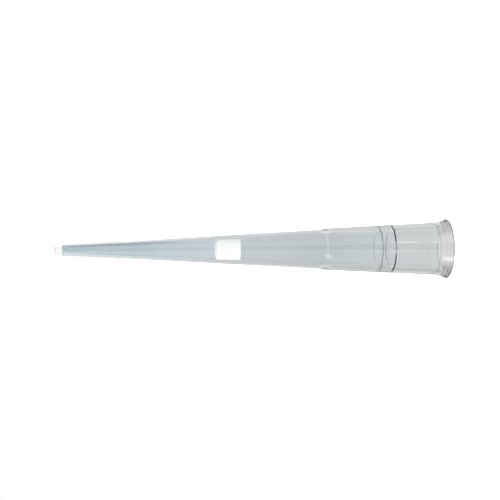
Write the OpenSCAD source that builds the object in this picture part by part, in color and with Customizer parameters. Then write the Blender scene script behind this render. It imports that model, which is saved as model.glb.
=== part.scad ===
// Filter pipette tip: one clear moulded tube with a porous plug pressed into its bore.
// The tip stands on its mouth rim. z = 0 is the rim's face, and z grows along the axis
// to the orifice. Both pieces are turned from a half profile of [radius, height] points.

/* [Overall] */
// Length from the mouth rim to the orifice
tip_length = 50; // [49:0.5:56]

/* [Mouth] */
// Outer diameter of the mouth rim
rim_d = 7.64; // [7.5:0.02:8]
// Width of the rim between its outer and inner edge
rim_w = 0.34; // [0.26:0.01:0.42]
// Radius that rounds both edges of the rim
rim_edge_r = 0.08; // [0.04:0.01:0.1]
// Height of the trumpet flare at the mouth
flare_h = 2.05; // [1.8:0.05:2.6]
// Depth of the lead-in funnel
funnel_h = 1.6; // [1.2:0.05:2]
// Number of stages in the funnel, each half as far from the rim as the one before
funnel_stages = 3; // [1:1:3]
// Radial width of the small step that each stage starts with
funnel_step = 0.04; // [0.02:0.01:0.08]
// Bore diameter at the throat, the foot of the funnel
throat_d = 5.48; // [5.4:0.02:5.6]
// Angle between the axis and the small steps in the bore
step_angle = 50; // [45:1:60]

/* [Collar] */
// Outer diameter of the collar under the flare
collar_d = 6.66; // [6.5:0.02:6.8]
// Outer diameter of the collar at its shoulder
shoulder_d = 5.3; // [5.2:0.02:5.5]
// Distance from the rim to the shoulder
shoulder_z = 15.5; // [14.5:0.1:16.5]
// Height of the chamfer that steps the shoulder down to the stem
shoulder_h = 1; // [0.6:0.1:1.4]

/* [Nozzle seat] */
// Diameter of the cylindrical land that grips the pipette's nozzle
seat_d = 4.68; // [4.6:0.02:4.8]
// Distance from the rim to the land
seat_z = 7.35; // [6:0.05:8]
// Length of the land
seat_h = 1.6; // [1.2:0.1:2.4]
// Radial width of the step from the guide in to the land
guide_step = 0.16; // [0.08:0.01:0.22]
// Radial width of the step from the land in to the relief
relief_step = 0.08; // [0.04:0.01:0.12]
// Bore diameter at the end of the relief, level with the shoulder
relief_d = 4.28; // [4.2:0.02:4.34]
// Radial width of the ledge inside the shoulder's chamfer
ledge_w = 0.06; // [0.02:0.01:0.1]

/* [Stem] */
// Outer diameter at the top of the stem, under the shoulder
stem_d = 5; // [4.9:0.02:5.1]
// Wall thickness of the stem where the nose starts
nose_wall = 0.28; // [0.22:0.01:0.32]

/* [Nose] */
// Length of the nose, the gently tapered end with the orifice
nose_h = 4.3; // [3.5:0.1:5]
// Outer diameter of the stem where the nose starts
nose_d = 1.6; // [1.46:0.02:1.7]
// Outer diameter of the nose at its end step
nose_end_d = 1.26; // [1.22:0.01:1.34]
// Length of the thin outlet past the end step
outlet_h = 0.9; // [0.5:0.1:1.5]
// Outer diameter of the outlet
outlet_d = 0.98; // [0.92:0.01:1.1]
// Bore diameter at the orifice
orifice_d = 0.52; // [0.4:0.02:0.6]

/* [Filter plug] */
// Length of the plug
plug_h = 3; // [2.5:0.05:4]
// Distance from the rim to the plug's face on the mouth side
plug_z = 27; // [24:0.1:28]
// Diameter of the plug at its face on the mouth side
plug_d = 2.64; // [2.6:0.02:2.7]
// Diameter of the plug at its leading face, which gives it a light press fit
plug_end_d = 2.54; // [2.46:0.02:2.58]
// Radius that rounds the plug's leading edge
plug_edge_r = 0.5; // [0.2:0.05:0.8]

/* [Hidden] */
$fn = 180;
arc_steps = 10;

rim_r = rim_d / 2;
stem_z = shoulder_z + shoulder_h;
nose_z = tip_length - nose_h;
outlet_z = tip_length - outlet_h;
plug_end_z = plug_z + plug_h;
throat_r = throat_d / 2;
rim_inner_r = rim_r - rim_w;

// The collar's outer wall: how far it leans out, and the way it faces
collar_lean = atan((collar_d - shoulder_d) / 2 / (shoulder_z - flare_h));
collar_normal = [cos(collar_lean), sin(collar_lean)];

// The flare is an arc tangent to the collar, from its foot out to the rim's edge
flare_foot = [collar_d / 2, flare_h];
flare_span = [rim_r, rim_edge_r] - flare_foot;
flare_r = (flare_span * flare_span) / (2 * flare_span * collar_normal);
flare_angle = 2 * asin(norm(flare_span) / (2 * flare_r));
flare_start = 180 + collar_lean;

// The plug's seat in the bore, which starts a little before the plug does
plug_lead = 0.4;
plug_lean = atan((plug_d - plug_end_d) / 2 / plug_h);

// Value at height z on the straight line from value a at height za to value b at height zb
function along(z, za, a, zb, b) = a + (b - a) * (z - za) / (zb - za);

// Height of a small step of radial width w
function step_h(w) = w / tan(step_angle);

function plug_r(z) = along(z, plug_z, plug_d, plug_end_z, plug_end_d) / 2;

// Points on an arc of radius r about c, from angle a0 to angle a1
function arc(c, r, a0, a1) =
    [for (i = [0:arc_steps]) let (a = a0 + (a1 - a0) * i / arc_steps) c + r * [cos(a), sin(a)]];

// The rim's face, with its outer and its inner edge rounded
function rim_outline() = concat(
    arc([rim_r - rim_edge_r, rim_edge_r], rim_edge_r, 0, -90),
    arc([rim_inner_r + rim_edge_r, rim_edge_r], rim_edge_r, -90, -180));

// The stages of the lead-in funnel, from the rim down to the throat
function funnel_outline() = [
    for (i = [funnel_stages - 1:-1:0])
        let (r = throat_r + i * (rim_inner_r - throat_r) / funnel_stages, z = funnel_h / pow(2, i))
            each [[r + funnel_step, z - step_h(funnel_step)], [r, z]]];

// The bore, from the throat to the orifice
function bore_outline() = [
    [seat_d / 2 + guide_step, seat_z - step_h(guide_step)],
    [seat_d / 2, seat_z],
    [seat_d / 2, seat_z + seat_h],
    [seat_d / 2 - relief_step, seat_z + seat_h + step_h(relief_step)],
    [relief_d / 2, shoulder_z],
    [relief_d / 2 - ledge_w, stem_z],
    [plug_r(plug_z - plug_lead), plug_z - plug_lead],
    [plug_end_d / 2, plug_end_z],
    [nose_d / 2 - nose_wall, nose_z],
    [orifice_d / 2, tip_length]];

// The outside, from the orifice back to the foot of the flare
function outer_outline() = [
    [outlet_d / 2, tip_length],
    [outlet_d / 2, outlet_z],
    [nose_end_d / 2, outlet_z],
    [nose_d / 2, nose_z],
    [stem_d / 2, stem_z],
    [shoulder_d / 2, shoulder_z]];

function flare_outline() =
    arc(flare_foot + flare_r * collar_normal, flare_r, flare_start, flare_start + flare_angle);

module tip_body() {
    color([0.8, 0.84, 0.87, 0.5])
        rotate_extrude()
            polygon(concat(
                rim_outline(), funnel_outline(), bore_outline(), outer_outline(), flare_outline()));
}

// The plug fills the bore wall to wall, so its side follows the taper of its seat
module filter_plug() {
    edge_z = plug_end_z - plug_edge_r;
    edge_centre = [plug_r(edge_z) - plug_edge_r / cos(plug_lean), edge_z];
    color([0.97, 0.98, 0.97])
        rotate_extrude()
            polygon(concat(
                [[0, plug_z], [plug_d / 2, plug_z]],
                arc(edge_centre, plug_edge_r, plug_lean, 90),
                [[0, plug_end_z]]));
}

tip_body();
filter_plug();
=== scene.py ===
import math

import bpy
import numpy as np
from mathutils import Matrix, Vector


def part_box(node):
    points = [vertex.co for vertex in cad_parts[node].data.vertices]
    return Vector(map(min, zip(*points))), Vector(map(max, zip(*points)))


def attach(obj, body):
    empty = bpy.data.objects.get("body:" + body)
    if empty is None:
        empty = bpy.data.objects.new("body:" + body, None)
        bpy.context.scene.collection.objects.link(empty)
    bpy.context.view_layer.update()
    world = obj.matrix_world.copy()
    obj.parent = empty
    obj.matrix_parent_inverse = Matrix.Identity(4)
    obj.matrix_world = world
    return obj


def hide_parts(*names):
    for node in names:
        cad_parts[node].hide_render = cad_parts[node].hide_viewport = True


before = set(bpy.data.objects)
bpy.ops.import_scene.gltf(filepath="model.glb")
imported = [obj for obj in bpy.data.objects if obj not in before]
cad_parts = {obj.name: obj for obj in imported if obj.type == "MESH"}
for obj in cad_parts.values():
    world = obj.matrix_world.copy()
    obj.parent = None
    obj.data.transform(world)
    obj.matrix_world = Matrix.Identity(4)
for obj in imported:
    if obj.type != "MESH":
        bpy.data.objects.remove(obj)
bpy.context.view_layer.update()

MM = 0.001
BODY_LOW, BODY_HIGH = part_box("tip_body")
PLUG_LOW, PLUG_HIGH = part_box("filter_plug")
LENGTH = BODY_HIGH.z - BODY_LOW.z
RIM_RADIUS = BODY_HIGH.x


# ---------------------------------------------------------------- outlines

# How finely the two turned pieces are made
SEGMENTS = 320
LONGEST_STEP = 1.5 * MM
SAME_POINT = 0.0005 * MM

# A corner becomes an arc of this radius. One that turns less than CORNER_ANGLE, or that lies
# within an arc of steps under ARC_STEP, stays, and one that turns less than STRAIGHT goes
EDGE_ROUND = 0.01 * MM
EDGE_POINTS = 7
CORNER_ANGLE = math.radians(4)
ARC_STEP = 0.1 * MM
STRAIGHT = 0.001

# A point is held beside each rounded corner, at this multiple of the cut, so that the walls
# keep their own shading
HOLD = 1.6

# Keeps the plug's side and the bore's wall from meeting in the render
PLUG_GAP = 0.012 * MM


def seam_rings(node):
    """Ordered [radius, z] points of a turned CAD node, read along its seam at y = 0, x > 0."""
    points, links = [], {}

    def ring(co):
        here = np.array((co.x, co.z))
        for i, p in enumerate(points):
            if np.abs(p - here).max() < SAME_POINT:
                return i
        points.append(here)
        return len(points) - 1

    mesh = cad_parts[node].data
    on_seam = {v.index: ring(v.co) for v in mesh.vertices
               if abs(v.co.y) < SAME_POINT and v.co.x >= 0}
    for e in mesh.edges:
        if e.vertices[0] in on_seam and e.vertices[1] in on_seam:
            a, b = (on_seam[i] for i in e.vertices)
            if a != b:
                links.setdefault(a, set()).add(b)
                links.setdefault(b, set()).add(a)
    ends = [i for i, near in links.items() if len(near) == 1]
    start = min(ends or links, key=lambda i: (points[i][1], -points[i][0]))
    order = [start]
    while True:
        ahead = [i for i in links[order[-1]] if i not in order]
        if not ahead:
            return np.array([points[i] for i in order])
        order.append(max(ahead, key=lambda i: points[i][0]))


def is_end(points, i, closed):
    return not closed and i in (0, len(points) - 1)


def turn_at(points, i, closed):
    """Angle by which the outline turns at point i."""
    if is_end(points, i, closed):
        return 0.0
    a = points[i] - points[i - 1]
    b = points[(i + 1) % len(points)] - points[i]
    return abs(math.atan2(a[0] * b[1] - a[1] * b[0], a @ b))


def without_straight_points(points, closed):
    return np.array([p for i, p in enumerate(points)
                     if turn_at(points, i, closed) > STRAIGHT or is_end(points, i, closed)])


def with_round_corners(points, closed):
    """Each sharp corner becomes a small arc, as a mould leaves it."""
    out, n = [], len(points)
    for i, p in enumerate(points):
        angle = turn_at(points, i, closed)
        before, after = points[i - 1] - p, points[(i + 1) % n] - p
        lengths = np.linalg.norm(before), np.linalg.norm(after)
        if angle < CORNER_ANGLE or max(lengths) < ARC_STEP:
            out.append(p)
            continue
        cut = min(EDGE_ROUND * math.tan(angle / 2), min(lengths) / 4)
        a, b = before / lengths[0] * cut, after / lengths[1] * cut
        out.append(p + HOLD * a)
        for t in np.linspace(0, 1, EDGE_POINTS):
            out.append(p + (1 - t) ** 2 * a + t * t * b)
        out.append(p + HOLD * b)
    return np.array(out)


def in_short_steps(points, closed):
    out, n = [], len(points)
    for i in range(n if closed else n - 1):
        a, b = points[i], points[(i + 1) % n]
        steps = max(1, math.ceil(np.linalg.norm(b - a) / LONGEST_STEP))
        out.extend(a + (b - a) * k / steps for k in range(steps))
    if not closed:
        out.append(points[-1])
    return np.array(out)


def outward(points):
    """How far a closed outline's surface faces away from the axis at each point, from -1 to 1."""
    ahead = np.roll(points, -1, 0)
    step = ahead - np.roll(points, 1, 0)
    area = np.sum(points[:, 0] * ahead[:, 1] - ahead[:, 0] * points[:, 1])
    return np.sign(area) * step[:, 1] / np.linalg.norm(step, axis=1)


def lathe(name, outline, closed):
    """Turns the outline round the Z axis. An open outline is closed by a flat face at each end."""
    n = len(outline)
    angles = np.arange(SEGMENTS) * 2 * math.pi / SEGMENTS
    verts = [(r * math.cos(a), r * math.sin(a), z) for r, z in outline for a in angles]
    faces = []
    for i in range(n if closed else n - 1):
        low, high = i * SEGMENTS, (i + 1) % n * SEGMENTS
        for k in range(SEGMENTS):
            m = (k + 1) % SEGMENTS
            faces.append((low + k, low + m, high + m, high + k))
    if not closed:
        faces.insert(0, tuple(range(SEGMENTS))[::-1])
        faces.append(tuple((n - 1) * SEGMENTS + k for k in range(SEGMENTS)))
    mesh = bpy.data.meshes.new(name)
    mesh.from_pydata(verts, [], faces)
    mesh.update()
    mesh.polygons.foreach_set("use_smooth", [True] * len(faces))
    piece = bpy.data.objects.new(name, mesh)
    bpy.context.scene.collection.objects.link(piece)
    return piece


def point_values(piece, name, values):
    """Stores one value for each point of the turned outline on the piece's mesh."""
    layer = piece.data.attributes.new(name, "FLOAT", "POINT")
    layer.data.foreach_set("value", np.repeat(values, SEGMENTS))


# ---------------------------------------------------------------- node helper

WHITE = (1, 1, 1, 1)
BLACK = (0, 0, 0, 1)

# The part of a noise's range that its values mostly fall in, and the share of a soft line's
# width at which it is full
NOISE_SPAN = (0.3, 0.7)
LINE_CORE = 0.3


class Nodes:
    """A small helper that adds nodes to a tree and joins them."""

    def __init__(self, tree):
        self.tree = tree

    def add(self, kind, inputs=None, **settings):
        node = self.tree.nodes.new(kind)
        for name, value in settings.items():
            setattr(node, name, value)
        for socket, value in (inputs or {}).items():
            self.put(node.inputs[socket], value)
        return node

    def put(self, socket, value):
        if isinstance(value, bpy.types.NodeSocket):
            self.tree.links.new(value, socket)
        else:
            socket.default_value = value

    def math(self, operation, *values):
        node = self.add("ShaderNodeMath", operation=operation)
        for socket, value in zip(node.inputs, values):
            self.put(socket, value)
        return node.outputs[0]

    def product(self, first, *others):
        for other in others:
            first = self.math("MULTIPLY", first, other)
        return first

    def distance(self, a, b):
        return self.math("ABSOLUTE", self.math("SUBTRACT", a, b))

    def ramp(self, value, start, end, low=0.0, high=1.0):
        """From low at start to high at end, with soft ends. The start may be above the end."""
        node = self.add("ShaderNodeMapRange", interpolation_type="SMOOTHSTEP")
        for socket, item in zip(node.inputs, (value, start, end, low, high)):
            self.put(socket, item)
        return node.outputs[0]

    def line(self, away, width, share):
        """A soft line of this share, where the distance from its middle is under the width."""
        return self.ramp(away, width, LINE_CORE * width, 0.0, share)

    def mix(self, share, a, b, blend="MIX"):
        node = self.add("ShaderNodeMix", data_type="RGBA", blend_type=blend, clamp_factor=True)
        for socket, value in zip((node.inputs[0], node.inputs[6], node.inputs[7]), (share, a, b)):
            self.put(socket, value)
        return node.outputs[2]

    def between(self, share, a, b):
        """The number a where the share is 0, and b where it is 1."""
        node = self.add("ShaderNodeMix", data_type="FLOAT")
        for socket, value in zip((node.inputs[0], node.inputs[2], node.inputs[3]), (share, a, b)):
            self.put(socket, value)
        return node.outputs[0]

    def noise(self, place, scale, detail=2.0):
        node = self.add("ShaderNodeTexNoise", {"Vector": place, "Scale": scale, "Detail": detail})
        return node.outputs["Fac"]

    def colour_ramp(self, value, stops):
        node = self.add("ShaderNodeValToRGB", {"Fac": value})
        elements = node.color_ramp.elements
        while len(elements) < len(stops):
            elements.new(0.5)
        for element, (at, colour) in zip(elements, stops):
            element.position, element.color = at, (*colour, 1)
        return node.outputs[0]

    def place(self):
        return self.add("ShaderNodeTexCoord").outputs["Object"]

    def split(self, vector):
        return self.add("ShaderNodeSeparateXYZ", {0: vector}).outputs

    def azimuth(self, x, y):
        """Angle round the axis, 0 toward the camera and growing toward the top of the picture."""
        return self.math("ARCTAN2", x, self.math("MULTIPLY", y, -1.0))


def new_material(name):
    material = bpy.data.materials.new(name)
    material.use_nodes = True
    nodes = Nodes(material.node_tree)
    return material, nodes, material.node_tree.nodes["Principled BSDF"]


# ---------------------------------------------------------------- clear plastic

# Places along the tip are shares of its length, from the mouth to the outlet, and the sizes
# of what is there are lengths. First, the painted shade through both walls, and through the
# edge of one: the tip is clear, and these greys stand for the surroundings seen through it.
# The edge's lighter stretch at the shoulder is painted light over a shade at its silhouette
SHADE_THROUGH_BOTH = ((0.00, (0.56, 0.59, 0.595)),
                (0.12, (0.565, 0.60, 0.61)),
                (0.17, (0.54, 0.585, 0.595)),
                (0.30, (0.48, 0.53, 0.545)),
                (0.56, (0.515, 0.575, 0.605)),
                (0.64, (0.525, 0.60, 0.65)),
                (0.80, (0.445, 0.545, 0.60)),
                (0.96, (0.435, 0.535, 0.585)))
SHADE_THROUGH_EDGE = ((0.015, (0.74, 0.77, 0.78)),
                (0.03, (0.61, 0.64, 0.64)),
                (0.31, (0.61, 0.63, 0.63)),
                (0.318, (0.84, 0.86, 0.86)),
                (0.33, (0.84, 0.86, 0.86)),
                (0.34, (0.61, 0.63, 0.63)),
                (0.60, (0.62, 0.66, 0.68)),
                (0.80, (0.70, 0.76, 0.79)),
                (0.96, (0.78, 0.84, 0.87)))
CLEAR = (0.985, 0.99, 0.99, 1)
SOFT_END = 0.05 * MM
REFRACTION = 1.49

# The bore's tint is slightly uneven
MOTTLE_SCALE = 400.0
MOTTLE_DETAIL = 3.0
MOTTLE_STRETCH = (1, 1, 0.4)
MOTTLE_SHARE = 0.08

# The wall's painted shade is left off over the plug, as far as a line that slants on the front, which
# puts painted shade over the plug's end
PLUG_SLANT = 0.49
PLUG_INSET = 0.35 * MM

# The bare stub at the outlet, and how far from the end its ring starts and is full
STUB = 0.9 * MM
OUTLET_RING = (0.13 * MM, 0.104 * MM)
OUTLET_TINT = (0.9, 0.88, 0.89, 1)

# A painted highlight on the ledge inside the shoulder: its ring is clear on its front and upper side
LEDGE_AT = 0.32
LEDGE_WIDTH = 0.1 * MM
LEDGE_SHARE = 0.5
LEDGE_SIDE = 0.2 * MM
LEDGE_LOWER_END = (-1.1 * MM, -0.6 * MM)

# How far the wall's edge reaches in from where the bore ends, as the shader's facing value
EDGE_START = -0.04
EDGE_END = 0.01

# The collar's lower side, where the wall's edge is shaded
COLLAR_END = (0.34, 0.32)
LOWER_SIDE = -1.5 * MM
LOWER_SHADE = 0.05

# A painted highlight: the light line at the upper edge of the bore, from the seat to the shoulder
HIGHLIGHT_FROM = 0.15
HIGHLIGHT_TO = 0.31
HIGHLIGHT_AT = 0.02
HIGHLIGHT_WIDTH = 0.06
HIGHLIGHT_SHARE = 0.35
UPPER_SIDE = 1.0 * MM

# A painted shade along one side of the stem's thin end, toward the top of the picture, darker at the
# nose
STEM_SHADE_AT = math.radians(47)
STEM_SHADE_WIDTH = math.radians(13.5)
STEM_SHADE_STARTS = (0.6, 0.8)
STEM_SHADE_TINT = (0.16, 0.22, 0.25, 1)
NOSE_SHADE_STARTS = (0.78, 0.9)
NOSE_SHADE_TINT = (0.05, 0.065, 0.07, 1)

# The collar is polished, and the stem and the nose are finely matt
HAZE_STARTS = (0.28, 0.34)
HAZE = (0.02, 0.08)
GRAIN_SCALE = 3000.0
GRAIN_SWING = (0.8, 1.2)


def bore_mottle_and_painted_light(n, place, along, stub):
    """Colour of the bore's wall: a grey-blue painted shade for the surroundings seen through the
    clear tip, slightly mottled, left clear over the plug and at the stub, with a painted highlight on
    the ledge.
    """
    x, y, z = n.split(place)
    stretched = n.add("ShaderNodeMapping", {"Vector": place, "Scale": MOTTLE_STRETCH}).outputs[0]
    mottle = n.noise(stretched, MOTTLE_SCALE, MOTTLE_DETAIL)
    mottle = n.ramp(mottle, *NOISE_SPAN, 0.0, MOTTLE_SHARE)
    bore = n.mix(mottle, n.colour_ramp(along, SHADE_THROUGH_BOTH), WHITE)

    # The painted shade stops over the plug, up to a slanted line on the front
    near = n.math("MINIMUM", y, 0.0)
    plug_end = n.math("MULTIPLY_ADD", near, -PLUG_SLANT, PLUG_HIGH.z - PLUG_INSET)
    over_plug = n.product(n.ramp(z, PLUG_LOW.z - SOFT_END, PLUG_LOW.z),
                          n.ramp(z, n.math("ADD", plug_end, SOFT_END), plug_end))
    bore = n.mix(n.math("MAXIMUM", over_plug, stub), bore, CLEAR)

    # Painted highlight: the ledge's ring is left clear on the front and upper side
    ledge_highlight = n.product(n.line(n.distance(z, LEDGE_AT * LENGTH), LEDGE_WIDTH, LEDGE_SHARE),
                      n.ramp(y, LEDGE_SIDE, -LEDGE_SIDE), n.ramp(x, *LEDGE_LOWER_END))
    return n.mix(ledge_highlight, bore, CLEAR)


def outer_painted_light(n, place, along, stub):
    """Colour of the outside: clear over the bore, painted shade over the edge of the wall, a painted
    highlight line on its upper side, and painted shade on the collar's lower side and along the
    stem's thin end.
    """
    x, y, z = n.split(place)
    wall_edge = n.add("ShaderNodeAttribute", attribute_name="wall_edge").outputs["Fac"]
    facing = n.add("ShaderNodeLayerWeight", {"Blend": 0.5}).outputs["Facing"]

    # Painted shade over the edge of the wall, for the surroundings seen through it
    edge = n.colour_ramp(along, SHADE_THROUGH_EDGE)
    lower = n.product(n.ramp(along, *COLLAR_END), n.ramp(x, 0.0, LOWER_SIDE, 0.0, LOWER_SHADE))
    edge = n.mix(lower, edge, BLACK)
    # Painted highlight along the upper edge of the bore
    beside = n.distance(facing, n.math("ADD", wall_edge, HIGHLIGHT_AT))
    line = n.product(n.line(beside, HIGHLIGHT_WIDTH, HIGHLIGHT_SHARE),
                     n.ramp(x, 0.0, UPPER_SIDE),
                     n.ramp(z, HIGHLIGHT_FROM * LENGTH - SOFT_END, HIGHLIGHT_FROM * LENGTH + SOFT_END),
                     n.ramp(z, HIGHLIGHT_TO * LENGTH + SOFT_END, HIGHLIGHT_TO * LENGTH - SOFT_END))
    edge = n.mix(line, edge, CLEAR)

    # A ray enters the edge of the wall once, and the shader takes the root of its colour there
    edge = n.mix(1.0, edge, edge, "MULTIPLY")
    edge = n.mix(stub, edge, CLEAR)
    start = n.math("ADD", wall_edge, EDGE_START)
    end = n.math("ADD", wall_edge, EDGE_END)
    outer = n.mix(n.ramp(facing, start, end), CLEAR, edge)

    # Painted shade along the stem's upper side
    stem_shade = n.product(n.ramp(n.distance(n.azimuth(x, y), STEM_SHADE_AT), STEM_SHADE_WIDTH, 0.0),
                     n.ramp(along, *STEM_SHADE_STARTS), n.math("SUBTRACT", 1.0, stub))
    tint = n.mix(n.ramp(along, *NOSE_SHADE_STARTS), STEM_SHADE_TINT, NOSE_SHADE_TINT)
    return n.mix(stem_shade, outer, tint)


def clear_polypropylene():
    material, n, shader = new_material("clear_polypropylene")
    place = n.place()
    z = n.split(place)["Z"]
    along = n.math("DIVIDE", z, LENGTH)
    from_end = n.math("SUBTRACT", BODY_HIGH.z, z)
    stub = n.ramp(from_end, STUB + SOFT_END, STUB)
    in_bore = n.add("ShaderNodeAttribute", attribute_name="in_bore").outputs["Fac"]
    # Both tints are painted shade on a tip whose plastic is clear
    wall = n.mix(in_bore, outer_painted_light(n, place, along, stub), bore_mottle_and_painted_light(n, place, along, stub))
    n.put(shader.inputs["Base Color"], n.mix(n.ramp(from_end, *OUTLET_RING), wall, OUTLET_TINT))

    haze = n.ramp(along, *HAZE_STARTS, *HAZE)
    grain = n.ramp(n.noise(place, GRAIN_SCALE), *NOISE_SPAN, *GRAIN_SWING)
    n.put(shader.inputs["Roughness"], n.product(haze, grain))
    shader.inputs["IOR"].default_value = REFRACTION
    shader.inputs["Transmission Weight"].default_value = 1.0
    return material


# ---------------------------------------------------------------- porous plastic

# Sintered granules with pores between them, drawn as the cells of a Voronoi texture
PORE_SCALE = 9000.0
PORE_EDGE = (0.2, 0.9)
PORE_DEPTH = 0.03 * MM
PORE_BUMP = 0.3
GRANULE = (0.95, 0.965, 0.965, 1)
PORE = (0.88, 0.9, 0.9, 1)
PLUG_ROUGHNESS = (0.8, 0.95)


def porous_polyethylene():
    material, n, shader = new_material("porous_polyethylene")
    cells = n.add("ShaderNodeTexVoronoi", {"Vector": n.place(), "Scale": PORE_SCALE})
    grains = cells.outputs["Distance"]
    n.put(shader.inputs["Base Color"], n.mix(n.ramp(grains, *PORE_EDGE), GRANULE, PORE))
    n.put(shader.inputs["Roughness"], n.ramp(grains, 0.0, 1.0, *PLUG_ROUGHNESS))
    bump = {"Height": grains, "Strength": PORE_BUMP, "Distance": PORE_DEPTH}
    n.put(shader.inputs["Normal"], n.add("ShaderNodeBump", bump).outputs[0])
    return material


# ---------------------------------------------------------------- pieces

# How sharply the bore's material gives way to the outer one over the edges, how much bore a
# point has to be for the wall to start there, and the bore's greatest share of the radius
BORE_SHARPNESS = 1.5
BORE_LEAST = 0.9
BORE_WIDEST = 0.98


def make_tip_body():
    outline = without_straight_points(seam_rings("tip_body"), True)
    outline = in_short_steps(with_round_corners(outline, True), True)
    piece = lathe("clear_tip_body", outline, True)

    # Where the material is bore, and how edge-on the outside is seen where the bore's wall ends
    facing_in = np.clip(0.5 - BORE_SHARPNESS * outward(outline), 0, 1)
    bore = outline[facing_in > BORE_LEAST]
    bore = bore[np.argsort(bore[:, 1])]
    bore_radius = np.interp(outline[:, 1], bore[:, 1], bore[:, 0])
    share = np.clip(bore_radius / outline[:, 0], 0, BORE_WIDEST)
    point_values(piece, "in_bore", facing_in)
    point_values(piece, "wall_edge", 1 - np.sqrt(1 - share ** 2))
    piece.data.materials.append(clear_polypropylene())
    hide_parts("tip_body")
    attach(piece, "root")


def make_filter_plug():
    # The ends on the axis only set the direction of the end faces, and aren't turned
    outline = seam_rings("filter_plug") - (PLUG_GAP, 0)
    outline = np.vstack(((0, PLUG_LOW.z), outline, (0, PLUG_HIGH.z)))
    outline = with_round_corners(without_straight_points(outline, False), False)
    piece = lathe("porous_filter_plug", in_short_steps(outline, False)[1:-1], False)
    piece.data.materials.append(porous_polyethylene())
    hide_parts("filter_plug")
    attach(piece, "root")


# ---------------------------------------------------------------- camera

# The camera looks at the side of the tip from a little toward the outlet, rolled so that
# the outlet points left
SENSOR = 36.0
FOCAL = 100.8
CAMERA_DISTANCE = 176.4 * MM
CAMERA_AIM = Vector((-0.06, 0, 25.6)) * MM
CAMERA_LIFT = math.radians(9.22)
CAMERA_ROLL = math.radians(-0.24)


def make_camera():
    data = bpy.data.cameras.new("camera")
    data.sensor_width = SENSOR
    data.lens = FOCAL
    data.clip_start = 0.1 * CAMERA_DISTANCE
    data.clip_end = 100 * CAMERA_DISTANCE
    camera = bpy.data.objects.new("camera", data)
    bpy.context.scene.collection.objects.link(camera)
    # Columns: the picture's right, up and back directions of a camera at the height of the aim
    turned = Matrix(((0, 1, 0), (0, 0, -1), (-1, 0, 0))).to_4x4()
    lift = Matrix.Rotation(-CAMERA_LIFT, 4, "X")
    aim = Matrix.Translation(CAMERA_AIM)
    away = Matrix.Translation((0, 0, CAMERA_DISTANCE))
    camera.matrix_world = aim @ lift @ turned @ Matrix.Rotation(CAMERA_ROLL, 4, "Z") @ away
    bpy.context.scene.camera = camera


# ---------------------------------------------------------------- floor

FLOOR_REACH = 0.6
FLOOR_COLOUR = (0.8, 0.8, 0.8, 1)
FLOOR_GLOW = 0.5

# A painted shade under the mouth, which only the clear plastic shows: how much of the floor's
# white is left there, at the mouth's lower side in the picture, its middle and its upper side.
# The reaches are shares of the rim's radius
UNDER_MOUTH = (0.35, 0.88, 0.54)
MIDDLE_REACH = 0.3
SIDE_REACH = 0.9
SHADE_REACH = 1.3


def white_floor():
    """White as the backdrop is, with the soft shadow of the tip, and a painted shade under its mouth.
    """
    material, n, shader = new_material("white_floor")
    path = n.add("ShaderNodeLightPath").outputs
    shader.inputs["Base Color"].default_value = FLOOR_COLOUR
    shader.inputs["Roughness"].default_value = 1.0
    glow = n.add("ShaderNodeEmission", {"Color": WHITE, "Strength": FLOOR_GLOW})
    lit = n.add("ShaderNodeAddShader", {0: shader.outputs[0], 1: glow.outputs[0]})

    place = n.place()
    away = n.add("ShaderNodeVectorMath", {0: place}, operation="LENGTH").outputs["Value"]
    x = n.split(place)["X"]
    inner, outer = MIDDLE_REACH * RIM_RADIUS, SIDE_REACH * RIM_RADIUS
    lower, middle, upper = UNDER_MOUTH
    # Painted shade under the mouth
    mouth = n.math("MINIMUM", n.ramp(x, -outer, -inner, lower, middle),
                   n.ramp(x, inner, outer, middle, upper))
    under = n.ramp(away, RIM_RADIUS, SHADE_REACH * RIM_RADIUS, mouth, 1.0)
    plain = n.add("ShaderNodeEmission", {"Color": WHITE, "Strength": under})

    through = n.math("MAXIMUM", path["Is Glossy Ray"], path["Is Transmission Ray"])
    seen = n.add("ShaderNodeMixShader",
                 {0: path["Is Camera Ray"], 1: shader.outputs[0], 2: lit.outputs[0]})
    last = n.add("ShaderNodeMixShader", {0: through, 1: seen.outputs[0], 2: plain.outputs[0]})
    n.put(material.node_tree.nodes["Material Output"].inputs["Surface"], last.outputs[0])
    return material


def make_floor():
    mesh = bpy.data.meshes.new("floor")
    corners = [(x * FLOOR_REACH, y * FLOOR_REACH, 0) for x, y in ((-1, -1), (1, -1), (1, 1), (-1, 1))]
    mesh.from_pydata(corners, [], [(0, 1, 2, 3)])
    floor = bpy.data.objects.new("floor", mesh)
    bpy.context.scene.collection.objects.link(floor)
    mesh.materials.append(white_floor())
    floor.visible_glossy = False


# ---------------------------------------------------------------- surroundings

# Directions are azimuths, 0 toward the camera and growing toward the top of the picture, and
# elevations, growing toward the outlet. A pair says where a soft change starts and ends.
# A dark card stands behind the tip, up toward its outlet, and the light from the picture's
# upper side is dimmed. Their sides are given as the y and the x of a unit vector
CARD_RISES = (math.radians(12), math.radians(18))
CARD_ENDS = (math.radians(42), math.radians(46.2))
CARD_BEHIND = (0.8, 0.93)
CARD_LEVEL = 0.05
DIM_SIDE = (0.8, 0.95)
DIM_LEVEL = 0.4

# Dark upright bands that only gloss shows, as start and end azimuth, and the elevations over
# which they fade in from below
DARK_BANDS = ((math.radians(-7), math.radians(24)),
              (math.radians(-128), math.radians(-70)))
BAND_RISES = (math.radians(-36), math.radians(-24))
SOFT_EDGE = math.radians(3)

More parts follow.
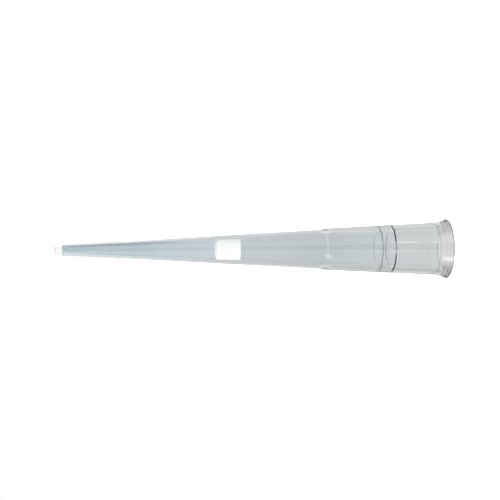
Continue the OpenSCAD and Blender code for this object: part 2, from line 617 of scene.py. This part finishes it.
# Lights that only gloss shows, as azimuth, elevation, half width, half height and level, and
# the shares of that width and height at which they are full
COLLAR_GLINT = (math.radians(31), math.radians(-10.05), math.radians(5), math.radians(0.6), 4.5)
SIDE_GLINT = (math.radians(-12), math.radians(-8), math.radians(2.4), math.radians(4.5), 2.0)
RIM_GLINT = (math.radians(-42.5), math.radians(22), math.radians(15), math.radians(26), 5.0)
GLINT_CORE = (0.2, 0.5)

# Light that matt surfaces get, least from all round and most from this side, and the cosine
# of the angle from this side at which it starts to grow
SOFT_LIGHT = (0.55, 1.6)
SOFT_TOWARD = Vector((-0.5, -0.4, 0.77)).normalized()
SOFT_FROM = -0.2


def make_world():
    world = bpy.data.worlds.new("studio")
    bpy.context.scene.world = world
    world.use_nodes = True
    n = Nodes(world.node_tree)
    side = n.add("ShaderNodeTexCoord").outputs["Generated"]
    x, y, z = n.split(side)
    azimuth = n.azimuth(x, y)
    elevation = n.math("ARCSINE", z)

    above = n.math("SUBTRACT", n.ramp(elevation, *CARD_RISES), n.ramp(elevation, *CARD_ENDS))
    card = n.between(n.product(above, n.ramp(y, *CARD_BEHIND)), 1.0, CARD_LEVEL)
    around = n.product(card, n.ramp(x, *DIM_SIDE, 1.0, DIM_LEVEL))

    gloss = around
    for start, end in DARK_BANDS:
        half = (end - start) / 2
        away = n.distance(azimuth, start + half)
        band = n.product(n.ramp(away, half, half - SOFT_EDGE), n.ramp(elevation, *BAND_RISES))
        gloss = n.product(gloss, n.math("SUBTRACT", 1.0, band))
    for at, height, width, tall, level in (COLLAR_GLINT, SIDE_GLINT, RIM_GLINT):
        spot = n.product(n.ramp(n.distance(azimuth, at), width, GLINT_CORE[0] * width),
                         n.ramp(n.distance(elevation, height), tall, GLINT_CORE[1] * tall))
        gloss = n.math("ADD", gloss, n.product(spot, level))

    toward = n.add("ShaderNodeVectorMath", {0: side, 1: SOFT_TOWARD}, operation="DOT_PRODUCT")
    soft = n.ramp(toward.outputs["Value"], SOFT_FROM, 1.0, *SOFT_LIGHT)

    # What each kind of ray finds, down to the camera's own, which finds plain white
    path = n.add("ShaderNodeLightPath").outputs
    level = n.between(path["Is Transmission Ray"], gloss, around)
    level = n.between(n.math("MINIMUM", path["Diffuse Depth"], 1.0), level, soft)
    level = n.between(path["Is Camera Ray"], level, 1.0)
    background = world.node_tree.nodes["Background"]
    n.put(background.inputs["Strength"], level)
    background.inputs["Color"].default_value = WHITE


# ---------------------------------------------------------------- lamp

# A soft lamp in front, which neither gloss nor clear plastic shows
KEY_PLACE = Vector((-0.25, -0.4, 0.15))
KEY_SIZE = 0.3
KEY_POWER = 3.0


def make_key_lamp():
    data = bpy.data.lights.new("key", "AREA")
    data.shape = "DISK"
    data.size = KEY_SIZE
    data.energy = KEY_POWER
    lamp = bpy.data.objects.new("key", data)
    bpy.context.scene.collection.objects.link(lamp)
    lamp.location = KEY_PLACE
    aim = Vector((0, 0, LENGTH / 2)) - KEY_PLACE
    lamp.rotation_euler = aim.to_track_quat("-Z", "Y").to_euler()
    lamp.visible_glossy = False
    lamp.visible_transmission = False


make_tip_body()
make_filter_plug()
make_camera()
make_floor()
make_world()
make_key_lamp()
bpy.context.scene.view_settings.view_transform = "Standard"
# The clear plastic shows what is behind it no softer than its roughness makes it
bpy.context.scene.cycles.blur_glossy = 0.0

bpy.context.view_layer.update()
